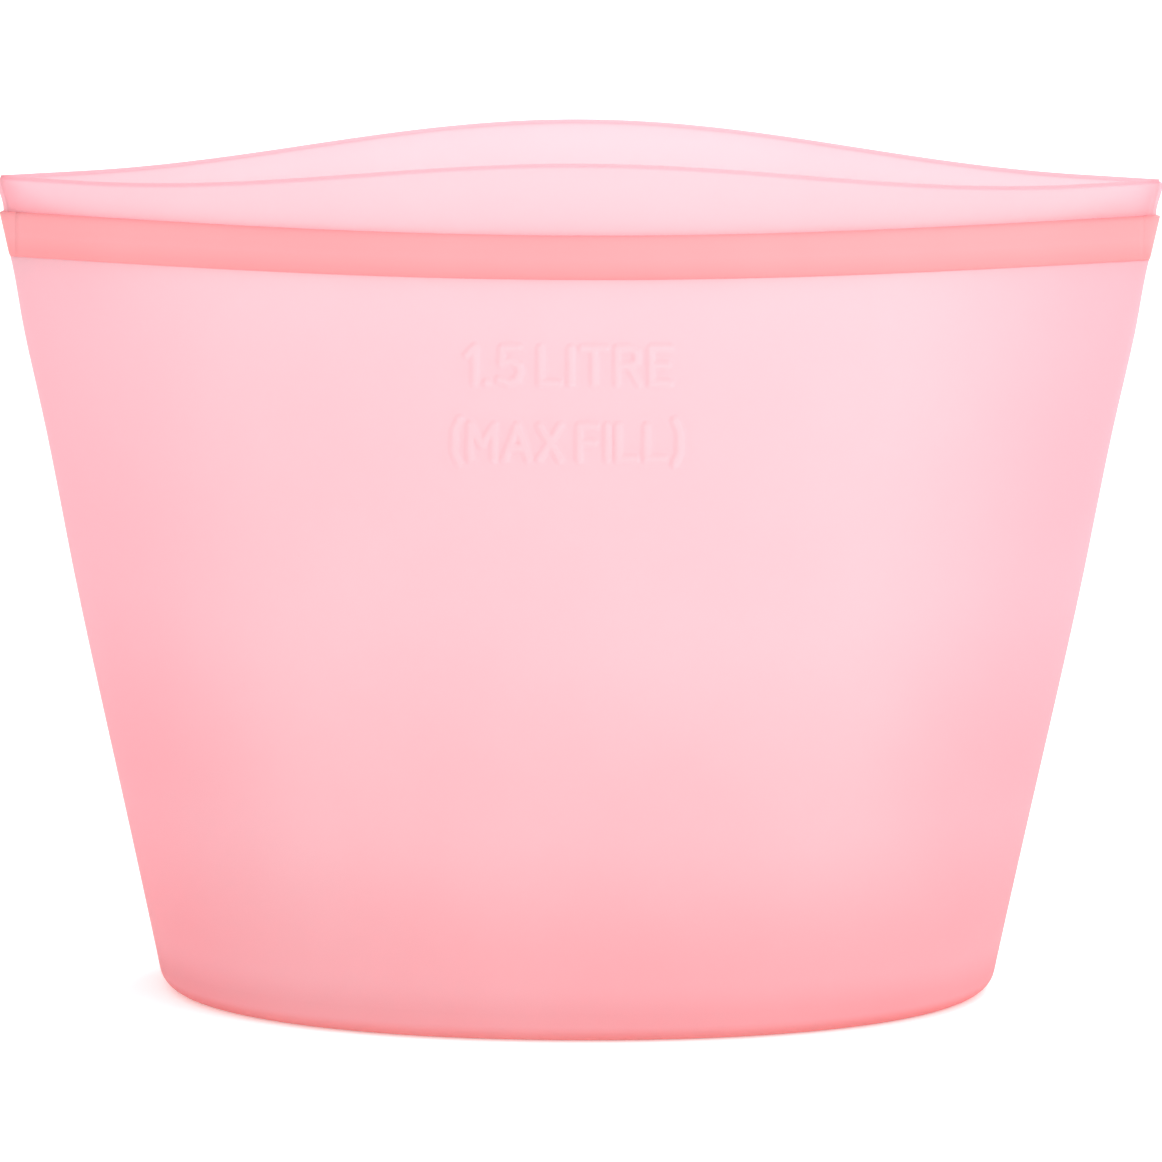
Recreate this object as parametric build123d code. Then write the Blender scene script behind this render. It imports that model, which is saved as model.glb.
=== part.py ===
from build123d import *
import math
import os

# A stand-up silicone storage bag with a press-together zip, moulded in one translucent rubber.
# +Z is up, +X is to the right, the front faces -Y. The origin is under the middle of the flat base.
# Each node is one moulded zone of the bag. All dimensions are in millimetres.

# Body
BASE_HALF_WIDTH = 86.1
BASE_HALF_DEPTH = 50.0
ZIP_HALF_WIDTH = 119.4
MOUTH_HALF_DEPTH = 22.5
WALL_BULGE = 1.5
WALL_THICKNESS = 1.8
FLOOR_THICKNESS = 2.2
EDGE_RADIUS = 3.5
RIM_HEIGHT = 7.0
RIM_WIDTH = 9.0

# Zip
BAND_BOTTOM = 154.2
BAND_TOP = 163.7
BAND_THICKNESS = 3.4
RIB_DEPTH = 1.3
RIB_HEIGHT = 1.0
RIB_PITCH = 3.2
BAND_HALF_LENGTH = 111.5
BODY_GAP = 0.3

# Lips above the zip
LIP_THICKNESS = 1.5
LIP_CORNER_HALF_WIDTH = 120.0
LIP_NECK_HALF_WIDTH = 118.2
LIP_CORNER_TOP = 170.6
LIP_MIDDLE_TOP = 178.6
LIP_ARCH_SHARE = 0.86
LIP_HALF_LENGTH = 116.4

# Side seams
SEAM_WIDTH = 1.6
SEAM_PROUD = 0.35

# Raised capacity mark
MARK_HEIGHT = 0.6
MARK_STROKE = 1.5
MARK_LINES = [("1.5 LITRE", 136.8, 1.18), ("(MAX FILL)", 121.4, 1.1)]
MARK_CENTRE_X = -2.6
LETTER_SPACE = 2.0
WORD_SPACE = 1.5

OUTLINE_STEPS = 14
MUCH = 400.0

# Each letter is drawn as strokes on a grid six units tall.
LETTERS = {
    "1": [[(0.6, 4.6), (2, 6), (2, 0)]],
    ".": [[(0, 0), (0.2, 0)]],
    "5": [[(3.3, 6), (0.5, 6), (0.3, 3.3), (1.9, 3.8), (3.3, 3.1), (3.6, 1.8), (3.0, 0.5), (1.6, 0), (0, 0.6)]],
    "L": [[(0, 6), (0, 0), (3.2, 0)]],
    "I": [[(0, 6), (0, 0)]],
    "T": [[(0, 6), (4, 6)], [(2, 6), (2, 0)]],
    "R": [[(0, 0), (0, 6), (2.2, 6), (3.4, 5.4), (3.4, 3.6), (2.2, 3), (0, 3)], [(2, 3), (3.8, 0)]],
    "E": [[(3.2, 6), (0, 6), (0, 0), (3.2, 0)], [(0, 3), (2.8, 3)]],
    "M": [[(0, 0), (0, 6), (2.2, 2.4), (4.4, 6), (4.4, 0)]],
    "A": [[(0, 0), (2.2, 6), (4.4, 0)], [(0.8, 2), (3.6, 2)]],
    "X": [[(0, 0), (3.8, 6)], [(0, 6), (3.8, 0)]],
    "F": [[(3.2, 6), (0, 6), (0, 0)], [(0, 3), (2.8, 3)]],
    "(": [[(1.2, 7), (0.3, 5), (0.3, 1), (1.2, -1)]],
    ")": [[(0, 7), (0.9, 5), (0.9, 1), (0, -1)]],
}


def half_width(z):
    """Side fold to centre line: the sides flare out in a straight line."""
    return BASE_HALF_WIDTH + (ZIP_HALF_WIDTH - BASE_HALF_WIDTH) * z / BAND_TOP


def half_depth(z):
    """Front of the wall to centre line: the bag narrows with a slight bulge, and meets the zip band's middle."""
    share = z / BAND_BOTTOM
    top = MOUTH_HALF_DEPTH + WALL_THICKNESS / 2
    return BASE_HALF_DEPTH + (top - BASE_HALF_DEPTH) * share + 4 * WALL_BULGE * share * (1 - share)


def fold(z):
    """0 where the side is round like the base, 1 where it is folded sharp like the zip."""
    share = min(1.0, z / BAND_BOTTOM)
    return share * share * (3 - 2 * share)


def outline(z, grow=0.0):
    """The body's closed cross-section at height z, grown by a margin, as a face."""
    wide = half_width(z) + grow
    deep = half_depth(z) + grow
    sharp = fold(z)
    side = []
    for step in range(OUTLINE_STEPS + 1):
        turn = math.pi * step / OUTLINE_STEPS
        round_part = (1 - sharp) * math.sin(turn)
        sharp_part = sharp * math.cos(math.pi / 2 * math.cos(turn))
        side.append((wide * math.cos(turn), deep * (round_part + sharp_part), z))
    side[0] = (wide, 0, z)
    side[-1] = (-wide, 0, z)
    back = Spline(*side)
    front = Spline(*[(x, -y, z) for x, y, z in side])
    return make_face([back, front])


def body_solid(grow, heights):
    """A solid through the body's cross-sections at the given heights."""
    return loft([outline(z, grow) for z in heights])


def spread(low, high, count):
    """Evenly spaced heights from low to high."""
    return [low + (high - low) * step / (count - 1) for step in range(count)]


def rounded_base():
    """The foot of the bag up to the rim's top, with its lower edge rounded."""
    sections = []
    for degrees in (0, 30, 60, 90):
        turn = math.radians(degrees)
        z = EDGE_RADIUS * (1 - math.cos(turn))
        inset = EDGE_RADIUS * (1 - math.sin(turn))
        sections.append(outline(z, -inset))
    sections.append(outline(RIM_HEIGHT))
    return loft(sections)


def half_space(sign):
    """Everything in front of (-1) or behind (+1) the side seams."""
    block = Box(MUCH, MUCH, MUCH)
    return Pos(0, sign * MUCH / 2, MUCH / 2) * block


def make_base(cavity):
    """The flat floor, and the thicker rounded rim that joins it to the walls."""
    base = rounded_base() - cavity
    core = loft([outline(0, -RIM_WIDTH), outline(RIM_HEIGHT, -RIM_WIDTH)])
    return base & core, base - core


def make_walls(cavity, heights):
    """The front and back walls, from the rim up to the zip."""
    ring = body_solid(0, heights) - cavity
    return ring & half_space(-1), ring & half_space(1)


def make_seam(sign, outer, heights):
    """The slim raised line down one side, where the front and back walls meet."""
    proud = body_solid(SEAM_PROUD, heights)
    strip = Pos(sign * MUCH / 2, 0, MUCH / 2) * Box(MUCH, SEAM_WIDTH, MUCH)
    return (proud - outer) & strip


def lens(x):
    """Distance from the centre plane to the middle of the zip band or lip at x."""
    return MOUTH_HALF_DEPTH * math.cos(math.pi / 2 * x / LIP_CORNER_HALF_WIDTH)


def curved_strip(sign, half_length, near, far, low, high):
    """A strip that follows the open mouth, from near to far off its middle line, between two heights."""
    xs = [half_length * step / 5 for step in range(-5, 6)]
    inner = Spline(*[(x, sign * (lens(x) + near)) for x in xs])
    outer = Spline(*[(x, sign * (lens(x) + far)) for x in xs])
    first = Line(inner @ 0, outer @ 0)
    last = Line(inner @ 1, outer @ 1)
    plan = make_face([inner, outer, first, last])
    return extrude(Pos(0, 0, low) * plan, high - low, dir=(0, 0, 1))


def make_band(sign):
    """The thick band that carries one half of the zip."""
    half = BAND_THICKNESS / 2
    return curved_strip(sign, BAND_HALF_LENGTH, -half, half, BAND_BOTTOM, BAND_TOP)


def make_tracks(sign, offsets):
    """The ribs on a band's inner face, at these heights off the band's middle."""
    inner_face = -BAND_THICKNESS / 2
    middle = (BAND_BOTTOM + BAND_TOP) / 2
    ribs = []
    for offset in offsets:
        low = middle + offset - RIB_HEIGHT / 2
        reach = inner_face - RIB_DEPTH
        ribs.append(curved_strip(sign, BAND_HALF_LENGTH, reach, inner_face, low, low + RIB_HEIGHT))
    return Compound(children=ribs)


def lip_profile():
    """The lips seen from the front: level at the corners, arched in the middle."""
    reach = LIP_ARCH_SHARE * LIP_CORNER_HALF_WIDTH
    rise = LIP_MIDDLE_TOP - LIP_CORNER_TOP
    arch = []
    for step in range(-6, 7):
        turn = math.pi / 2 * step / 6
        arch.append((reach * step / 6, LIP_CORNER_TOP + rise * math.cos(turn) ** 2))
    curve = Spline(*arch, tangents=[(1, 0), (1, 0)])
    outer = LIP_CORNER_HALF_WIDTH
    rest = Polyline(
        (reach, LIP_CORNER_TOP),
        (outer, LIP_CORNER_TOP),
        (outer, BAND_TOP),
        (-outer, BAND_TOP),
        (-outer, LIP_CORNER_TOP),
        (-reach, LIP_CORNER_TOP),
    )
    face = make_face([curve, rest])
    return extrude(Plane.XZ * face, MUCH / 2, both=True)


def make_lip(sign, profile):
    """The thin lip above one half of the zip."""
    half = LIP_THICKNESS / 2
    return curved_strip(sign, LIP_HALF_LENGTH, -half, half, BAND_TOP, LIP_MIDDLE_TOP) & profile


def end_plan(z, start, half, outer, tip):
    """A corner's plan at height z: a wedge from half a width of half at start to tip at the outer edge."""
    wedge = Polyline((start, -half, z), (outer, -tip, z), (outer, tip, z), (start, half, z), close=True)
    return make_face(wedge)


def make_zip_end(sign):
    """The solid corner where the two halves of the zip and both lips run together."""
    start = BAND_HALF_LENGTH + BODY_GAP
    half = lens(start) + BAND_THICKNESS / 2
    tip = BAND_THICKNESS / 2
    low = BAND_BOTTOM - BODY_GAP
    high = BAND_TOP - BODY_GAP
    block = loft([end_plan(z, start, half, half_width(z), tip) for z in (low, high)])
    web_start = LIP_HALF_LENGTH + BODY_GAP
    web_half = lens(web_start) + LIP_THICKNESS / 2
    web_tip = LIP_THICKNESS / 2
    neck = end_plan(high, web_start, web_half, LIP_NECK_HALF_WIDTH, web_tip)
    corner = end_plan(LIP_CORNER_TOP, web_start, web_half, LIP_CORNER_HALF_WIDTH, web_tip)
    end = block + loft([neck, corner])
    return end if sign > 0 else mirror(end, Plane.YZ)


def line_length(words):
    """A line's length in letter units."""
    length = 0.0
    for letter in words:
        if letter == " ":
            length += WORD_SPACE
            continue
        points = [point for stroke in LETTERS[letter] for point in stroke]
        length += max(x for x, _ in points) + LETTER_SPACE
    return length - LETTER_SPACE


def stroke_solids(words, z_middle, unit):
    """Every stroke of one line of the mark, as rods that run through the front wall."""
    rods = []
    x_letter = MARK_CENTRE_X - unit * line_length(words) / 2
    z_low = z_middle - 3 * unit
    for letter in words:
        if letter == " ":
            x_letter += WORD_SPACE * unit
            continue
        for stroke in LETTERS[letter]:
            for (x0, z0), (x1, z1) in zip(stroke, stroke[1:]):
                start = (x_letter + x0 * unit, z_low + z0 * unit)
                length = math.hypot(x1 - x0, z1 - z0) * unit
                angle = math.degrees(math.atan2(z1 - z0, x1 - x0))
                slot = Pos(length / 2, 0) * SlotCenterToCenter(length, MARK_STROKE)
                placed = Pos(*start) * Rot(0, 0, angle) * slot
                rods.append(extrude(Plane.XZ * placed, BASE_HALF_DEPTH))
        points = [point for stroke in LETTERS[letter] for point in stroke]
        x_letter += (max(x for x, _ in points) + LETTER_SPACE) * unit
    return rods


def make_mark(outer, heights):
    """The raised capacity mark on the front wall."""
    skin = body_solid(MARK_HEIGHT, heights) - outer
    rods = []
    for words, z_middle, unit in MARK_LINES:
        rods += stroke_solids(words, z_middle, unit)
    letters = rods[0].fuse(*rods[1:])
    return skin & letters


def main():
    os.makedirs("parts", exist_ok=True)
    cavity_heights = [FLOOR_THICKNESS] + spread(RIM_HEIGHT, BAND_BOTTOM, 5)
    cavity = body_solid(-WALL_THICKNESS, cavity_heights)
    wall_heights = spread(RIM_HEIGHT, BAND_BOTTOM - BODY_GAP, 5)
    outer = body_solid(0, wall_heights)
    base_panel, base_rim = make_base(cavity)
    front_wall, back_wall = make_walls(cavity, wall_heights)
    profile = lip_profile()
    rib_offsets = [-RIB_PITCH / 2, RIB_PITCH / 2]
    rail_offsets = [-RIB_PITCH, 0, RIB_PITCH]
    nodes = {
        "base_panel": base_panel,
        "base_rim": base_rim,
        "front_wall": front_wall,
        "back_wall": back_wall,
        "side_seam_left": make_seam(-1, outer, wall_heights),
        "side_seam_right": make_seam(1, outer, wall_heights),
        "zip_end_left": make_zip_end(-1),
        "zip_end_right": make_zip_end(1),
        "capacity_mark": make_mark(outer, wall_heights),
        "front_zip_band": make_band(-1),
        "front_zip_ribs": make_tracks(-1, rib_offsets),
        "front_lip": make_lip(-1, profile),
        "back_zip_band": make_band(1),
        "back_zip_rails": make_tracks(1, rail_offsets),
        "back_lip": make_lip(1, profile),
    }
    for name, shape in nodes.items():
        export_step(shape, f"parts/{name}.step")
    print(f"inside volume up to the zip: {cavity.volume / 1e6:.3f} litres")


main()
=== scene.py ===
import bpy
import math
import numpy as np
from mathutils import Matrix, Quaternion, Vector


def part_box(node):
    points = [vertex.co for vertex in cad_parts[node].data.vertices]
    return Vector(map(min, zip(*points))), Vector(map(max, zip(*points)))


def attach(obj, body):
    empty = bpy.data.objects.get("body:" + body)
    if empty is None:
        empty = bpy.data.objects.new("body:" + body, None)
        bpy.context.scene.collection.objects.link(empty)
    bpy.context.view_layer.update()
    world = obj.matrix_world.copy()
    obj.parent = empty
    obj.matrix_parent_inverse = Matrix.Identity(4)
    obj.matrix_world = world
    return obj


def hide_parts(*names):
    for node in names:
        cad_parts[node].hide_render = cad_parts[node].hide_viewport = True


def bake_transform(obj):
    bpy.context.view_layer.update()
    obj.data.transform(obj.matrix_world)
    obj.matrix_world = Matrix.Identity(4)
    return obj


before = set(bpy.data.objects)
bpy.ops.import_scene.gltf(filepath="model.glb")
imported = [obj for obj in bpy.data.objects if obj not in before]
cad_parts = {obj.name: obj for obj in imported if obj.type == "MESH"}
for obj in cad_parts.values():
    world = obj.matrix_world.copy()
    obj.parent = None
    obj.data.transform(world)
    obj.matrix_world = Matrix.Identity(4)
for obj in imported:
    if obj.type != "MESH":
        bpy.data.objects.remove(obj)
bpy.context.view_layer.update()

# Everything is in metres, in the CAD frame: +Z up, front facing -Y, origin under the middle of the base.

# Places read from the CAD nodes
RIM_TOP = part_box("base_rim")[1].z
BAND_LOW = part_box("front_zip_band")[0].z
BAND_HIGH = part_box("front_zip_band")[1].z
CORNER_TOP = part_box("zip_end_right")[1].z
LIP_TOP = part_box("front_lip")[1].z
LIP_HALF_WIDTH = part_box("zip_end_right")[1].x

# Sizes of the moulding
BASE_HALF_WIDTH = 0.0861
BASE_HALF_DEPTH = 0.0500
ZIP_HALF_WIDTH = 0.1194
MOUTH_HALF_DEPTH = 0.0225
WALL_BULGE = 0.0015
ROUNDNESS = 2.12
WALL = 0.0018
FLOOR = 0.0022
EDGE_RADIUS = 0.0035
RIM_WIDTH = 0.0090
BAND = 0.0034
TRACK_DEPTH = 0.0013
TRACK_HEIGHT = 0.0010
TRACK_PITCH = 0.0032
LIP = 0.0013
LIP_BEAD = 0.0015
LIP_BEAD_HEIGHT = 0.0011
ARCH_SHARE = 0.86
LIP_NECK = 0.1186
LIP_TUCK = 0.0015
LIP_LEAN = 0.03

# Where a side is folded flat, this much of each wall's thickness is left outside the cavity
FOLD_WALL = 0.0005

# The soft sides draw in a little below the zip
WAIST = 0.00115
WAIST_HEIGHT = 0.122
WAIST_SPREAD = 0.030

# Deeper colour towards the side folds, partly as the two walls lie close there and partly painted shade,
# and deeper on the right as painted shade against the key lamp: the most at each fold, where it starts
# as a share of the half width and over how much of it, its share at the foot and the height where it is full
LEFT_FOLD_DEPTH_AND_SHADE = 0.50
RIGHT_FOLD_DEPTH_AND_SHADE = 0.62
FOLD_DEPTH_START = 0.54
FOLD_DEPTH_SPAN = 0.54
FOLD_DEPTH_FOOT = 0.25
FOLD_DEPTH_HEIGHT = 0.060

# The wall's slow unevenness
UNEVENNESS = 0.00022

# The height above which the wall's unevenness fades in
BEND_START = 0.012


def half_width(z):
    """Side fold to centre line on the outside of the wall."""
    return BASE_HALF_WIDTH + (ZIP_HALF_WIDTH - BASE_HALF_WIDTH) * z / BAND_HIGH


def half_depth(z):
    """Front of the wall to centre line: narrows with a slight bulge, and meets the zip band's middle."""
    share = z / BAND_LOW
    top = MOUTH_HALF_DEPTH + WALL / 2
    return BASE_HALF_DEPTH + (top - BASE_HALF_DEPTH) * share + 4 * WALL_BULGE * share * (1 - share)


def smooth(t):
    """Smooth step from 0 to 1."""
    t = np.clip(t, 0, 1)
    return t * t * (3 - 2 * t)


def fold(z):
    """0 where the side is round like the base, 1 where it is folded flat like the zip."""
    return smooth(z / BAND_LOW)


def lens(x):
    """Distance from the centre plane to the middle of the zip band at x."""
    return MOUTH_HALF_DEPTH * np.cos(math.pi / 2 * x / LIP_HALF_WIDTH)


def waist(z):
    """How far the soft sides draw in just below the zip."""
    return WAIST * np.exp(-(((z - WAIST_HEIGHT) / WAIST_SPREAD) ** 2))


def inner_wall(u, z):
    """A point on the wall's inner face, to the right of and out from the middle. u runs from -1 to 1."""
    flat = fold(z)
    wide = half_width(z) - WALL + flat * (WALL - FOLD_WALL) - waist(z)
    x = wide * u
    deep = half_depth(z) - WALL
    round_part = deep * (1 - np.minimum(np.abs(u), 1) ** ROUNDNESS) ** (1 / ROUNDNESS)
    spread = LIP_HALF_WIDTH * half_width(z) / half_width(BAND_LOW)
    flat_part = (deep + WALL / 2) * np.cos(math.pi / 2 * x / spread) - WALL / 2
    return x, (1 - flat) * round_part + flat * np.clip(flat_part, 0, None)


def fold_depth_and_shade(u, z):
    """How much deeper the colour is towards the side folds: partly as the two walls lie close together there,
    partly painted shade, and more on the right as painted shade against the key lamp.
    """
    most = np.where(u > 0, RIGHT_FOLD_DEPTH_AND_SHADE, LEFT_FOLD_DEPTH_AND_SHADE)
    across = smooth((np.abs(u) - FOLD_DEPTH_START) / FOLD_DEPTH_SPAN)
    return most * across * (FOLD_DEPTH_FOOT + (1 - FOLD_DEPTH_FOOT) * smooth(z / FOLD_DEPTH_HEIGHT))


def softness(u, z):
    """Slow unevenness of the soft wall from three waves, none at the rim, the zip and the folds."""
    x = u * half_width(z)
    waves = np.sin(x / 0.019 + 0.9) * np.sin(z / 0.024 + 0.4)
    waves = waves + 0.6 * np.sin(x / 0.011 - z / 0.017) + 0.5 * np.sin(z / 0.0095 + x / 0.031 + 2.0)
    held = smooth((z - BEND_START) / 0.03) * smooth((BAND_LOW - z) / 0.02) * smooth((1 - np.abs(u)) / 0.3)
    return UNEVENNESS * waves * held


# ---------------------------------------------------------------- meshes


def new_object(name, points, faces, depth=0.0):
    """A smooth-shaded mesh object. depth is how much deeper than usual each point's colour is."""
    mesh = bpy.data.meshes.new(name)
    mesh.from_pydata(points.reshape(-1, 3).tolist(), [], faces)
    mesh.shade_smooth()
    deepened = mesh.attributes.new("depth", "FLOAT", "POINT")
    depths = np.broadcast_to(depth, points.shape[:-1]).reshape(-1)
    deepened.data.foreach_set("value", depths.astype(np.float32))
    made = bpy.data.objects.new(name, mesh)
    bpy.context.scene.collection.objects.link(made)
    return made


def grid_faces(rows, columns, rows_closed=False, columns_closed=False):
    """Four-sided faces of a grid of points, wrapped round where closed."""
    r = np.arange(rows if rows_closed else rows - 1)
    c = np.arange(columns if columns_closed else columns - 1)
    r, c = np.meshgrid(r, c, indexing="ij")
    r2 = (r + 1) % rows
    c2 = (c + 1) % columns
    corners = [r * columns + c, r * columns + c2, r2 * columns + c2, r2 * columns + c]
    return np.stack(corners, axis=-1).reshape(-1, 4)


def turned_outward(points, faces):
    """The faces of a closed shape, all turned to face out."""
    flat = points.reshape(-1, 3)
    quads = np.array([face for face in faces if len(face) == 4])
    a, b, c = flat[quads[:, 0]], flat[quads[:, 1]], flat[quads[:, 2]]
    volume = np.einsum("ij,ij->i", a - flat.mean(0), np.cross(b - flat.mean(0), c - flat.mean(0))).sum()
    return faces if volume > 0 else [face[::-1] for face in faces]


def closed_tube(name, rings, depth=0.0):
    """A solid through a stack of closed rings, capped at both ends."""
    rows, sides = rings.shape[:2]
    faces = grid_faces(rows, sides, columns_closed=True).tolist()
    faces.append(list(range(sides))[::-1])
    faces.append(list(range((rows - 1) * sides, rows * sides)))
    return new_object(name, rings, turned_outward(rings, faces), depth)


def closed_hoop(name, rings, depth=0.0):
    """A solid ring through a loop of closed rings."""
    faces = grid_faces(*rings.shape[:2], rows_closed=True, columns_closed=True).tolist()
    return new_object(name, rings, turned_outward(rings, faces), depth)


def thick_sheet(name, grids, weights, thickness, outward, offset=0.0, depth=0.0):
    """Sheets of points made solid. Each point's weight is its share of the thickness."""
    faces = []
    first = 0
    for grid in grids:
        faces.append(grid_faces(*grid.shape[:2]) + first)
        first += grid.shape[0] * grid.shape[1]
    points = np.concatenate([grid.reshape(-1, 3) for grid in grids])
    faces = np.concatenate(faces)
    middle = faces[len(faces) // 2]
    normal = np.cross(points[middle[1]] - points[middle[0]], points[middle[3]] - points[middle[0]])
    if normal[1] * outward < 0:
        faces = faces[:, ::-1]
    made = new_object(name, points, faces.tolist(), np.ravel(depth) if np.ndim(depth) else depth)
    group = made.vertex_groups.new(name="thickness")
    for index, weight in enumerate(np.concatenate([w.reshape(-1) for w in weights]).tolist()):
        group.add([index], weight, "REPLACE")
    solid = made.modifiers.new("thickness", "SOLIDIFY")
    solid.thickness = thickness
    solid.offset = offset
    solid.vertex_group = "thickness"
    return made


def stretches(*parts):
    """Positions along a line, from (start, end, step) parts that follow on from each other."""
    found = [np.array([parts[0][0]])]
    for start, end, step in parts:
        count = max(1, round((end - start) / step))
        found.append(np.linspace(start, end, count + 1)[1:])
    return np.concatenate(found)


def rounded(t, power):
    """Thickness across a strip, t from -1 to 1: full in the middle and rounded off at both edges."""
    return np.sqrt(np.clip(1 - np.abs(t) ** power, 0.0004, 1))


# ---------------------------------------------------------------- raised mark

MARK_HEIGHT = 0.0005
MARK_STROKE = 0.0015
MARK_EDGE = 0.0008
# The letters are painted paler than the wall: a painted highlight on their raised faces
MARK_PAINTED_HIGHLIGHT = -0.06
MARK_CENTRE_X = -0.0026
MARK_LINES = [("1.5 LITRE", 0.1368, 0.00118), ("(MAX FILL)", 0.1214, 0.0011)]
LETTER_SPACE = 2.0
WORD_SPACE = 1.5

# Each letter is drawn as strokes on a grid six units tall, as in the CAD.
LETTERS = {
    "1": [[(0.6, 4.6), (2, 6), (2, 0)]],
    ".": [[(0, 0), (0.2, 0)]],
    "5": [
        [(3.3, 6), (0.5, 6), (0.3, 3.3), (1.9, 3.8), (3.3, 3.1), (3.6, 1.8), (3.0, 0.5), (1.6, 0), (0, 0.6)],
    ],
    "L": [[(0, 6), (0, 0), (3.2, 0)]],
    "I": [[(0, 6), (0, 0)]],
    "T": [[(0, 6), (4, 6)], [(2, 6), (2, 0)]],
    "R": [[(0, 0), (0, 6), (2.2, 6), (3.4, 5.4), (3.4, 3.6), (2.2, 3), (0, 3)], [(2, 3), (3.8, 0)]],
    "E": [[(3.2, 6), (0, 6), (0, 0), (3.2, 0)], [(0, 3), (2.8, 3)]],
    "M": [[(0, 0), (0, 6), (2.2, 2.4), (4.4, 6), (4.4, 0)]],
    "A": [[(0, 0), (2.2, 6), (4.4, 0)], [(0.8, 2), (3.6, 2)]],
    "X": [[(0, 0), (3.8, 6)], [(0, 6), (3.8, 0)]],
    "F": [[(3.2, 6), (0, 6), (0, 0)], [(0, 3), (2.8, 3)]],
    "(": [[(1.2, 7), (0.3, 5), (0.3, 1), (1.2, -1)]],
    ")": [[(0, 7), (0.9, 5), (0.9, 1), (0, -1)]],
}


def letter_advance(letter):
    """From one letter's left edge to the next letter's, in letter units."""
    if letter == " ":
        return WORD_SPACE
    return max(x for stroke in LETTERS[letter] for x, _ in stroke) + LETTER_SPACE


def mark_strokes():
    """Every straight piece of the mark, as its two ends in the X-Z plane."""
    pieces = []
    for words, middle, unit in MARK_LINES:
        length = sum(letter_advance(letter) for letter in words) - LETTER_SPACE
        x = MARK_CENTRE_X - unit * length / 2
        low = middle - 3 * unit
        for letter in words:
            for stroke in LETTERS.get(letter, []):
                ends = [(x + a * unit, low + b * unit) for a, b in stroke]
                pieces += list(zip(ends, ends[1:]))
            x += letter_advance(letter) * unit
    return pieces


def mark_relief(x, z):
    """How far the mark stands off the wall at each point, with soft moulded edges."""
    nearest = np.full(x.shape, 1.0)
    for (x0, z0), (x1, z1) in mark_strokes():
        across, up = x1 - x0, z1 - z0
        t = np.clip(((x - x0) * across + (z - z0) * up) / (across ** 2 + up ** 2), 0, 1)
        nearest = np.minimum(nearest, np.hypot(x - x0 - t * across, z - z0 - t * up))
    return MARK_HEIGHT * smooth((MARK_STROKE / 2 + MARK_EDGE / 2 - nearest) / MARK_EDGE)


# ---------------------------------------------------------------- walls

WALL_MOST = WALL + MARK_HEIGHT
WALL_FOOT = 0.0050
WALL_TUCK = 0.0010
MARK_STEP = 0.00035
MARK_LEFT, MARK_RIGHT = -0.030, 0.024
MARK_LOW, MARK_HIGH = 0.1150, 0.1425
FOLD_TURN = 0.25
FOLD_TURN_STEP = 0.016
WALL_TURN_STEP = 0.02
FOOT_STEP = 0.0001
WALL_STEP = 0.0018
PLAIN_WALL_STEP = 0.0016
TOP_STEP = 0.0012
SEAM_HALF_THICKNESS = 0.0006
SEAM_FLAT_THICKENING = 0.0011
SEAM_PROUD = 0.0001
SEAM_PALENESS = 0.12


def wall_turns(marked):
    """Positions across the wall as turns from 0 to pi, close together at the folds and over the mark."""
    if not marked:
        left, right, fine = math.pi / 2 + 0.1, math.pi / 2 - 0.1, WALL_TURN_STEP
    else:
        wide = half_width((MARK_LOW + MARK_HIGH) / 2)
        left, right = math.acos(MARK_LEFT / wide), math.acos(MARK_RIGHT / wide)
        fine = MARK_STEP / wide
    end = math.pi - FOLD_TURN
    return stretches(
        (0, FOLD_TURN, FOLD_TURN_STEP),
        (FOLD_TURN, right, WALL_TURN_STEP),
        (right, left, fine),
        (left, end, WALL_TURN_STEP),
        (end, math.pi, FOLD_TURN_STEP),
    )


def wall_heights(marked):
    """Heights up the wall, close together over the mark and at the foot."""
    fine = MARK_STEP if marked else PLAIN_WALL_STEP
    foot = WALL_FOOT + FOOT_STEP
    top = BAND_LOW + WALL_TUCK
    return stretches(
        (WALL_FOOT, foot, FOOT_STEP),
        (foot, MARK_LOW, WALL_STEP),
        (MARK_LOW, MARK_HIGH, fine),
        (MARK_HIGH, top, TOP_STEP),
    )


def make_wall(name, sign, marked):
    """One thin wall, from inside the rim up into the zip band."""
    turn, z = np.meshgrid(wall_turns(marked), wall_heights(marked))
    u = np.cos(turn)
    x, y = inner_wall(u, z)
    y = y + softness(u, z)
    relief = mark_relief(x, z) if marked else np.zeros(x.shape)
    # Deeper colour towards the folds: partly painted shade, more on the right
    # The raised letters are painted paler: a painted highlight
    depth = fold_depth_and_shade(u, z) + MARK_PAINTED_HIGHLIGHT * relief / MARK_HEIGHT
    grid = np.stack([x, sign * y, z], axis=-1)
    share = (WALL + relief) / WALL_MOST
    wall = thick_sheet(name, [grid], [share], WALL_MOST, sign, offset=1.0, depth=depth)
    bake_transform(wall)
    return wall


def make_side_bead(name, sign):
    """The rounded fold down one side, which fills the wedge between the front and back walls."""
    turn = np.linspace(0, 2 * math.pi, 20, endpoint=False)
    rings = []
    for z in stretches((WALL_FOOT - 0.001, BAND_LOW + WALL_TUCK, 0.0025)):
        flat = fold(z)
        inner = float(inner_wall(np.float64(1), z)[0])
        outer = half_width(z) - waist(z) + SEAM_PROUD
        thick = SEAM_HALF_THICKNESS + SEAM_FLAT_THICKENING * flat
        reach = np.where(np.cos(turn) > 0, outer - inner, 0.0004 + 0.0014 * flat)
        x = inner + reach * np.cos(turn)
        rings.append(np.stack([sign * x, thick * np.sin(turn), np.full(len(turn), z)], axis=-1))
    rings = np.stack(rings)
    # The bead deepens like the walls at the fold, partly painted shade, less its paleness
    bead = closed_tube(name, rings, fold_depth_and_shade(1.0, rings[..., 2]) - SEAM_PALENESS)
    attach(bead, "root")
    return bead


# ---------------------------------------------------------------- base

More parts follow.
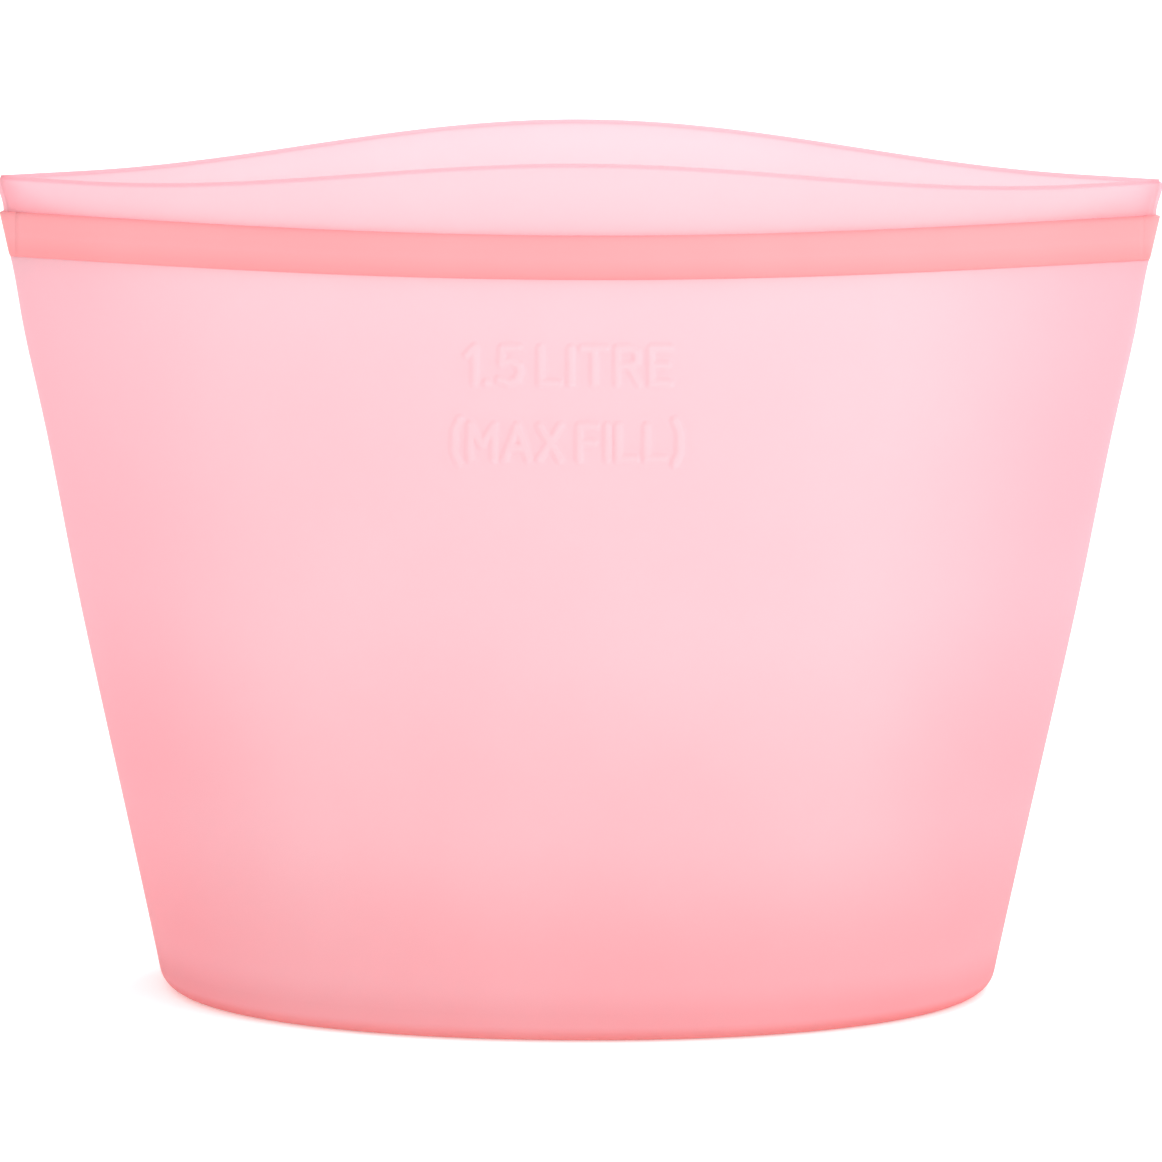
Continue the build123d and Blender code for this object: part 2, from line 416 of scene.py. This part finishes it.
BASE_STEPS = 240
PANEL_DEPTH = -0.5
PANEL_DISH = 0.0004
OUTLINE_RISE = 0.001
RIM_PROUD = 0.000012
RIM_FLAT = 0.0055
RIM_FILLET_WIDTH = 0.004
RIM_INNER_LAP = 0.0002
# The rim's outside from its top down to the rounded edge, as (height, inset)
RIM_SHOULDER = [
    (RIM_TOP, 0.0010),
    (0.0068, 0.0002),
    (0.0064, 0.00003),
    (0.0057, -RIM_PROUD),
    (0.0045, -RIM_PROUD),
]
RIM_INNER_EDGE = 0.0075
RIM_EDGE_STEPS = 9
RIM_FILLET_STEPS = 7


def base_outline(z, inset):
    """The foot's closed outline at height z, moved square to itself. Inset 0 is the outside of the wall."""
    turn = np.linspace(0, 2 * math.pi, BASE_STEPS, endpoint=False)
    back = np.where(np.sin(turn) < 0, -1, 1)
    x, y = inner_wall(np.cos(turn), z)
    x_above, y_above = inner_wall(np.cos(turn), z + OUTLINE_RISE)
    along = np.stack([np.roll(x, -1) - np.roll(x, 1), np.roll(y * back, -1) - np.roll(y * back, 1)])
    out_x, out_y = along[1] / np.hypot(*along), -along[0] / np.hypot(*along)
    lean = ((x_above - x) * out_x + (y_above - y) * back * out_y) / OUTLINE_RISE
    out = WALL * np.sqrt(1 + lean ** 2) - inset
    return np.stack([x + out * out_x, y * back + out * out_y, np.full(BASE_STEPS, z)], axis=-1)


def rim_section():
    """The rim's section as (height, inset), going round once from the top of the outside."""
    section = list(RIM_SHOULDER)
    for step in range(RIM_EDGE_STEPS + 1):
        turn = math.pi / 2 * step / RIM_EDGE_STEPS
        section.append((EDGE_RADIUS * (1 - math.sin(turn)), EDGE_RADIUS * (1 - math.cos(turn))))
    section += [(0.0, RIM_FLAT), (0.0, RIM_WIDTH)]
    section += [(FLOOR / 2, RIM_WIDTH), (FLOOR, RIM_WIDTH), (FLOOR, RIM_INNER_EDGE)]
    fillet = RIM_TOP - FLOOR
    for step in range(RIM_FILLET_STEPS + 1):
        turn = math.pi / 2 * step / RIM_FILLET_STEPS
        inset = WALL + RIM_INNER_LAP + RIM_FILLET_WIDTH * (1 - math.sin(turn))
        section.append((FLOOR + fillet * (1 - math.cos(turn)), inset))
    return section


def make_base_rim():
    """The thicker rounded edge between the walls and the floor."""
    rings = np.stack([base_outline(z, inset) for z, inset in rim_section()])
    # The rim deepens towards the folds like the walls: partly painted shade
    depth = fold_depth_and_shade(rings[..., 0] / BASE_HALF_WIDTH, rings[..., 2])
    rim = closed_hoop("base_rim_moulded", rings, depth)
    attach(rim, "root")
    return rim


def make_base_panel():
    """The oval floor, very slightly dished underneath so that the bag stands on its rim."""
    edge = base_outline(0.0, RIM_WIDTH)
    shares = np.array([0.04, 0.15, 0.3, 0.45, 0.6, 0.75, 0.88, 1.0])
    under = [edge * [share, share, 0] + [0, 0, PANEL_DISH * smooth((1 - share) * 4)] for share in shares]
    over = [edge * [share, share, 0] + [0, 0, FLOOR] for share in shares[::-1]]
    panel = closed_tube("base_panel_moulded", np.stack(under + over), PANEL_DEPTH)
    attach(panel, "root")
    return panel


# ---------------------------------------------------------------- zip and lips

LIP_CORNER = CORNER_TOP + 0.0004
BAND_MIDDLE = (BAND_LOW + BAND_HIGH) / 2
BAND_HALF_HEIGHT = (BAND_HIGH - BAND_LOW) / 2
BAND_ACROSS = np.sin(np.linspace(-math.pi / 2, math.pi / 2, 27))
BAND_END = 0.1160
BAND_SQUARENESS = 8
CHANNEL_SHARE = 0.06
CHANNEL_MIDDLE = -0.1
CHANNEL_SPREAD = 0.16
CHANNEL_REACH = 0.9
CAP_START = 0.1164
# Deeper colour towards the band's ends, and on the solid ends: partly thicker silicone, partly painted shade
# against the light that comes through the solid ends
END_DEPTH_AND_SHADE = 0.05
END_DEPTH_START = 0.090
END_DEPTH_SPAN = 0.024
CAP_STEPS = 11
CAP_TIP = 0.25
CAP_EASE = 0.0004
TRACK_HALF_LENGTH = 0.112
TRACK_SUNK = 0.0002
LIP_HALF_LENGTH = 0.1190
# A darker line painted along each lip's edge: painted shade on the rounded edge
EDGE_LINE_SHADE = 0.95
# Deeper colour towards the lips' ends, much more on the left than the right: painted shade
LEFT_LIP_SHADE = 0.2
RIGHT_LIP_SHADE = 0.03
CORNER_RADIUS = 0.0016
CORNER_ROUND = 0.0006
CORNER_DEPTH = 0.25
# Where the solid end comes out through the band's surface: (along from CAP_START, proud of the band)
CAP_STATIONS = [
    (-0.0034, -0.00120),
    (-0.0024, -0.00040),
    (-0.0016, -0.00008),
    (-0.0010, -0.00001),
    (-0.0005, 0.00001),
    (0.0, 0.00002),
]


def bend_with_zip(piece):
    """Bakes the strip's placement into its points."""
    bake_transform(piece)


def band_section(t):
    """Thickness share across the band, t from -1 at the bottom to 1 at the top, with a faint channel."""
    channel = CHANNEL_SHARE * np.exp(-(((t - CHANNEL_MIDDLE) / CHANNEL_SPREAD) ** 2))
    return rounded(t, BAND_SQUARENESS) - channel * (np.abs(t) < CHANNEL_REACH)


def make_band(name, sign):
    """The thick band that carries one half of the zip, with rounded edges."""
    x, t = np.meshgrid(np.linspace(-BAND_END, BAND_END, 161), BAND_ACROSS)
    grid = np.stack([x, sign * lens(x), BAND_MIDDLE + BAND_HALF_HEIGHT * t], axis=-1)
    # Deeper towards the ends: partly painted shade
    depth = END_DEPTH_AND_SHADE * smooth((np.abs(x) - END_DEPTH_START) / END_DEPTH_SPAN)
    band = thick_sheet(name, [grid], [band_section(t)], BAND, sign, depth=depth)
    bend_with_zip(band)
    return band


def make_tracks(name, sign, offsets):
    """The ribs that press together, on the band's inner face."""
    inward = -(BAND + TRACK_DEPTH) / 2 + TRACK_SUNK
    grids = []
    weights = []
    for offset in offsets:
        x, t = np.meshgrid(np.linspace(-TRACK_HALF_LENGTH, TRACK_HALF_LENGTH, 141), np.linspace(-1, 1, 9))
        z = BAND_MIDDLE + offset + TRACK_HEIGHT / 2 * t
        grids.append(np.stack([x, sign * (lens(x) + inward), z], axis=-1))
        weights.append(rounded(t, 4) * rounded(x / TRACK_HALF_LENGTH, 60))
    tracks = thick_sheet(name, grids, weights, TRACK_DEPTH + TRACK_SUNK, sign)
    bend_with_zip(tracks)
    return tracks


def lip_edge(x):
    """Height of the lip's edge: level at the corners, arched in the middle."""
    share = np.clip(np.abs(x) / (ARCH_SHARE * LIP_HALF_WIDTH), 0, 1)
    return LIP_CORNER + (LIP_TOP - LIP_CORNER) * np.cos(math.pi / 2 * share) ** 2


def lip_spread(z):
    """Width of the lips at height z as a share of their full width: the corners lean out."""
    neck = LIP_NECK / LIP_HALF_WIDTH
    return neck + (1 - neck) * smooth((z - BAND_HIGH) / (CORNER_TOP - BAND_HIGH))


def make_lip(name, sign):
    """The thin arched lip above one half of the zip, with a slim bead along its edge."""
    rise = 1 - (1 - np.linspace(0, 1, 33)) ** 2
    x, t = np.meshgrid(np.linspace(-LIP_HALF_LENGTH, LIP_HALF_LENGTH, 201), rise)
    low = BAND_HIGH - LIP_TUCK
    high = lip_edge(x)
    z = low + (high - low) * t
    lean = 1 + LIP_LEAN * smooth((z - BAND_HIGH) / (LIP_TOP - BAND_HIGH))
    grid = np.stack([x * lip_spread(z), sign * lens(x) * lean, z], axis=-1)
    below = (high - z) / LIP_BEAD_HEIGHT
    bead = rounded(np.clip(2 * below - 1, -1, 1), 2)
    body_part = LIP * smooth(below * 2)
    thick = np.maximum(body_part, LIP_BEAD * bead)
    # Painted shade: a darker line along the lip's edge
    edge = EDGE_LINE_SHADE * smooth((0.9 - below) / 0.5)
    # Painted shade towards the ends, mostly on the left
    outward = smooth((np.abs(x) / LIP_HALF_WIDTH - 0.5) / 0.5)
    side = np.where(x < 0, LEFT_LIP_SHADE, RIGHT_LIP_SHADE) * outward
    lip = thick_sheet(name, [grid], [thick / LIP_BEAD], LIP_BEAD, sign, depth=edge + side)
    bend_with_zip(lip)
    return lip


def make_zip_end(name, sign):
    """The solid corner where the two halves of the zip run together, with their section, rounded off."""
    t = BAND_ACROSS
    z = BAND_MIDDLE + BAND_HALF_HEIGHT * t
    room = half_width(z) - CAP_START
    lean = np.arctan(MOUTH_HALF_DEPTH * math.pi / 2 / LIP_HALF_WIDTH)
    rings = []
    for inside, proud in CAP_STATIONS:
        thick = (BAND / 2 + proud) * band_section(t)
        x = CAP_START + inside + thick * math.sin(lean)
        y = lens(CAP_START + inside) + thick * math.cos(lean)
        rings.append((x, y, z))
    start_x, start_y, _ = rings[-1]
    for step in range(1, CAP_STEPS + 1):
        share = math.sin(math.pi / 2 * step / CAP_STEPS)
        x = start_x + share * (CAP_START + room - start_x)
        y = (start_y - math.tan(lean) * (x - start_x)) * (CAP_TIP + (1 - CAP_TIP) * (1 - share ** 2.5) ** 0.5)
        rings.append((x, y, z - CAP_EASE * share ** 4 * t))
    loops = []
    for x, y, high in rings:
        front = np.stack([sign * x, -y, high], axis=-1)
        back = np.stack([sign * x, y, high], axis=-1)
        loops.append(np.concatenate([front, back[::-1]]))
    # The solid end's deeper colour is partly painted shade
    end = closed_tube(name, np.stack(loops), END_DEPTH_AND_SHADE)
    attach(end, "root")
    return end


def make_lip_corner(name, sign):
    """The upright fold that joins the two lips at one corner."""
    turn = np.linspace(0, 2 * math.pi, 24, endpoint=False)
    rings = []
    rounding = CORNER_TOP - CORNER_ROUND
    for z in stretches((BAND_HIGH - 0.001, rounding, 0.0006), (rounding, CORNER_TOP, 0.00012)):
        closing = rounded(np.clip((z - rounding) / CORNER_ROUND, 0, 1), 2.0)
        middle = LIP_HALF_WIDTH * lip_spread(z) - CORNER_RADIUS
        x = middle + CORNER_RADIUS * np.cos(turn) * (0.35 + 0.65 * closing)
        y = (LIP / 2 + 0.0003) * np.sin(turn) * (0.1 + 0.9 * closing)
        rings.append(np.stack([sign * x, y, np.full(len(turn), z)], axis=-1))
    corner = closed_tube(name, np.stack(rings), CORNER_DEPTH)
    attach(corner, "root")
    return corner


# ---------------------------------------------------------------- silicone


def linear(red, green, blue):
    """A colour given as screen values from 0 to 255, as the shader's linear values."""
    shares = [value / 255 for value in (red, green, blue)]
    return (*[s / 12.92 if s <= 0.04045 else ((s + 0.055) / 1.055) ** 2.4 for s in shares], 1.0)


def map_range(nodes, links, source, low, high, to_low, to_high, kind="SMOOTHSTEP"):
    """A node that maps source from one range to another, with soft ends."""
    node = nodes.new("ShaderNodeMapRange")
    node.interpolation_type = kind
    node.inputs["From Min"].default_value = low
    node.inputs["From Max"].default_value = high
    node.inputs["To Min"].default_value = to_low
    node.inputs["To Max"].default_value = to_high
    links.new(source, node.inputs["Value"])
    return node.outputs["Result"]


def noise(nodes, links, place, scale, detail):
    """A noise texture in object space."""
    node = nodes.new("ShaderNodeTexNoise")
    node.inputs["Scale"].default_value = scale
    node.inputs["Detail"].default_value = detail
    links.new(place, node.inputs["Vector"])
    return node.outputs["Fac"]


def height_ramp(nodes, links, height, stops):
    """Colour by height, from (height in metres, screen colour) stops."""
    low, high = stops[0][0], stops[-1][0]
    share = map_range(nodes, links, height, low, high, 0.0, 1.0, "LINEAR")
    ramp = nodes.new("ShaderNodeValToRGB")
    ramp.color_ramp.interpolation = "EASE"
    elements = ramp.color_ramp.elements
    while len(elements) < len(stops):
        elements.new(0.5)
    for element, (z, colour) in zip(elements, stops):
        element.position = (z - low) / (high - low)
        element.color = linear(*colour)
    links.new(share, ramp.inputs["Fac"])
    return ramp.outputs["Color"]


MOTTLE_SCALE = 24
MOTTLE_DEPTHS = (0.96, 1.04)
GRAIN_SCALE = 1600
GRAIN_ROUGHNESS = (0.5, 0.66)
FROST_STRENGTH = 0.06
FROST_HEIGHT = 0.0002
SILICONE_IOR = 1.41
SILICONE_SPECULAR = 0.3
WALL_CLEAR = 0.42
ZIP_CLEAR = 0.2
LIP_CLEAR = 0.74


def silicone(name, stops, clear):
    """Matte translucent silicone: a soft frosted surface over a body that lets light through."""
    material = bpy.data.materials.new(name)
    material.use_nodes = True
    nodes = material.node_tree.nodes
    links = material.node_tree.links
    nodes.clear()
    out = nodes.new("ShaderNodeOutputMaterial")
    place = nodes.new("ShaderNodeTexCoord").outputs["Object"]
    split = nodes.new("ShaderNodeSeparateXYZ")
    links.new(place, split.inputs["Vector"])
    # On the walls and lips this ramp paints light and shade by height
    colour = height_ramp(nodes, links, split.outputs["Z"], stops)

    # Depth of colour: 1 is the ramp's own, more is deeper, less is paler; partly as through thicker silicone,
    # partly painted shade and a painted highlight set on the pieces
    deeper = nodes.new("ShaderNodeAttribute")
    deeper.attribute_name = "depth"
    depth = nodes.new("ShaderNodeMath")
    depth.operation = "ADD"
    links.new(deeper.outputs["Fac"], depth.inputs[0])
    mottle = noise(nodes, links, place, MOTTLE_SCALE, 3)
    links.new(map_range(nodes, links, mottle, 0.25, 0.75, *MOTTLE_DEPTHS), depth.inputs[1])
    gamma = nodes.new("ShaderNodeGamma")
    links.new(colour, gamma.inputs["Color"])
    links.new(depth.outputs["Value"], gamma.inputs["Gamma"])

    matte = nodes.new("ShaderNodeBsdfPrincipled")
    grain = noise(nodes, links, place, GRAIN_SCALE, 2)
    links.new(gamma.outputs["Color"], matte.inputs["Base Color"])
    links.new(map_range(nodes, links, grain, 0.2, 0.8, *GRAIN_ROUGHNESS), matte.inputs["Roughness"])
    frost = nodes.new("ShaderNodeBump")
    frost.inputs["Strength"].default_value = FROST_STRENGTH
    frost.inputs["Distance"].default_value = FROST_HEIGHT
    links.new(grain, frost.inputs["Height"])
    links.new(frost.outputs["Normal"], matte.inputs["Normal"])
    matte.inputs["IOR"].default_value = SILICONE_IOR
    matte.inputs["Specular IOR Level"].default_value = SILICONE_SPECULAR

    glow = nodes.new("ShaderNodeBsdfTranslucent")
    links.new(gamma.outputs["Color"], glow.inputs["Color"])
    mix = nodes.new("ShaderNodeMixShader")
    mix.inputs["Fac"].default_value = clear
    links.new(matte.outputs["BSDF"], mix.inputs[1])
    links.new(glow.outputs["BSDF"], mix.inputs[2])
    links.new(mix.outputs["Shader"], out.inputs["Surface"])
    return material


# Colour by height. The colour is palest in the thin lips and the top of the walls, and coral at the base; the
# rubber is one colour, so on the walls and lips this is painted light where light comes through and painted
# shade towards the base.
WALL_PAINTED_LIGHT_STOPS = [
    (0.0000, (248, 175, 170)),
    (0.0012, (249, 169, 171)),
    (0.0034, (252, 187, 193)),
    (0.0120, (253, 198, 204)),
    (0.0450, (254, 213, 219)),
    (0.0900, (254, 222, 228)),
    (0.1640, (254, 225, 231)),
]
ZIP_STOPS = [(BAND_LOW, (254, 163, 166)), (BAND_MIDDLE, (254, 175, 179)), (BAND_HIGH, (254, 174, 178))]
# The lips are painted paler: painted light, for the light that comes through them onto the back lip's inner
# face
LIP_PAINTED_LIGHT_STOPS = [(BAND_HIGH, (254, 231, 235)), (LIP_TOP, (254, 233, 237))]


def dress(piece, material, slot, *nodes):
    """Gives a piece its material and hides the CAD nodes it stands for. The slot is not used."""
    piece.data.materials.append(material)
    if nodes:
        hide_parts(*nodes)


def make_bag():
    wall = silicone("wall_silicone", WALL_PAINTED_LIGHT_STOPS, WALL_CLEAR)
    zip_band = silicone("zip_silicone", ZIP_STOPS, ZIP_CLEAR)
    lip = silicone("lip_silicone", LIP_PAINTED_LIGHT_STOPS, LIP_CLEAR)

    front = make_wall("front_wall_moulded", -1, True)
    dress(front, wall, "silicone_wall", "front_wall", "capacity_mark")
    dress(make_wall("back_wall_moulded", 1, False), wall, "silicone_wall", "back_wall")
    dress(make_base_rim(), wall, "silicone_base", "base_rim")
    dress(make_base_panel(), wall, "silicone_base", "base_panel")

    front_band = make_band("front_zip_band_moulded", -1)
    dress(front_band, zip_band, "silicone_zip", "front_zip_band")
    back_band = make_band("back_zip_band_moulded", 1)
    dress(back_band, zip_band, "silicone_zip", "back_zip_band")
    ribs = make_tracks("front_zip_ribs_moulded", -1, [-TRACK_PITCH / 2, TRACK_PITCH / 2])
    dress(ribs, zip_band, "silicone_zip", "front_zip_ribs")
    rails = make_tracks("back_zip_rails_moulded", 1, [-TRACK_PITCH, 0, TRACK_PITCH])
    dress(rails, zip_band, "silicone_zip", "back_zip_rails")
    dress(make_lip("front_lip_moulded", -1), lip, "silicone_lip", "front_lip")
    dress(make_lip("back_lip_moulded", 1), lip, "silicone_lip", "back_lip")

    for side, sign in (("left", -1), ("right", 1)):
        dress(make_zip_end(f"zip_end_{side}_moulded", sign), zip_band, "silicone_zip", f"zip_end_{side}")
        dress(make_lip_corner(f"lip_corner_{side}_moulded", sign), lip, "silicone_lip")
        dress(make_side_bead(f"side_seam_{side}_moulded", sign), wall, "silicone_wall", f"side_seam_{side}")


# ---------------------------------------------------------------- floor, light, camera


FLOOR_HALF_SIZE = 6.0
FLOOR_SHADE = 0.95
FLOOR_EMISSION = 0.28
LAMP_AIM = Vector((0, 0, 0.09))


def make_floor():
    """A plain pale floor."""
    half = FLOOR_HALF_SIZE
    corners = np.array([(-half, -half, 0), (half, -half, 0), (half, half, 0), (-half, half, 0)])
    floor = new_object("floor", corners, [(0, 1, 2, 3)])
    pale = bpy.data.materials.new("pale_floor")
    pale.use_nodes = True
    shader = pale.node_tree.nodes["Principled BSDF"]
    shader.inputs["Base Color"].default_value = (FLOOR_SHADE, FLOOR_SHADE, FLOOR_SHADE, 1)
    shader.inputs["Roughness"].default_value = 0.9
    shader.inputs["Specular IOR Level"].default_value = 0.0
    shader.inputs["Emission Color"].default_value = (1, 1, 1, 1)
    shader.inputs["Emission Strength"].default_value = FLOOR_EMISSION
    floor.data.materials.append(pale)


def make_lamp(name, place, size, power):
    """A round soft lamp that faces the bag."""
    data = bpy.data.lights.new(name, "AREA")
    data.shape = "DISK"
    data.size = size
    data.energy = power
    lamp = bpy.data.objects.new(name, data)
    lamp.location = place
    aim = LAMP_AIM - Vector(place)
    lamp.rotation_euler = aim.to_track_quat("-Z", "Y").to_euler()
    bpy.context.scene.collection.objects.link(lamp)


def make_light():
    """A bright even studio: white all round, a soft key from the upper right and a lamp behind."""
    world = bpy.data.worlds.new("studio")
    world.use_nodes = True
    world.node_tree.nodes["Background"].inputs["Color"].default_value = (1, 1, 1, 1)
    world.node_tree.nodes["Background"].inputs["Strength"].default_value = 1.0
    bpy.context.scene.world = world
    make_lamp("key", place=(1.4, -0.7, 1.2), size=1.2, power=9.5)
    make_lamp("back", place=(0.8, 1.3, 1.2), size=0.8, power=10.0)


CAMERA_ELEVATION = 13.1
CAMERA_DISTANCE = 3.0
CAMERA_ROLL = 0.2
CAMERA_LENS = 449.0
CAMERA_SENSOR = 36.0
CAMERA_REACH = 50.0
CAMERA_AIM = Vector((0.0005, 0.0, 0.0858))


def make_camera():
    data = bpy.data.cameras.new("camera")
    data.lens = CAMERA_LENS
    data.sensor_width = CAMERA_SENSOR
    data.clip_end = CAMERA_REACH
    camera = bpy.data.objects.new("camera", data)
    rise = math.radians(CAMERA_ELEVATION)
    camera.location = CAMERA_AIM + CAMERA_DISTANCE * Vector((0, -math.cos(rise), math.sin(rise)))
    look = (CAMERA_AIM - camera.location).to_track_quat("-Z", "Y")
    roll = Quaternion((0, 0, 1), math.radians(CAMERA_ROLL))
    camera.rotation_mode = "QUATERNION"
    camera.rotation_quaternion = look @ roll
    bpy.context.scene.collection.objects.link(camera)
    bpy.context.scene.camera = camera


make_bag()
make_floor()
make_light()
make_camera()
bpy.context.scene.view_settings.view_transform = "Standard"
bpy.context.view_layer.update()
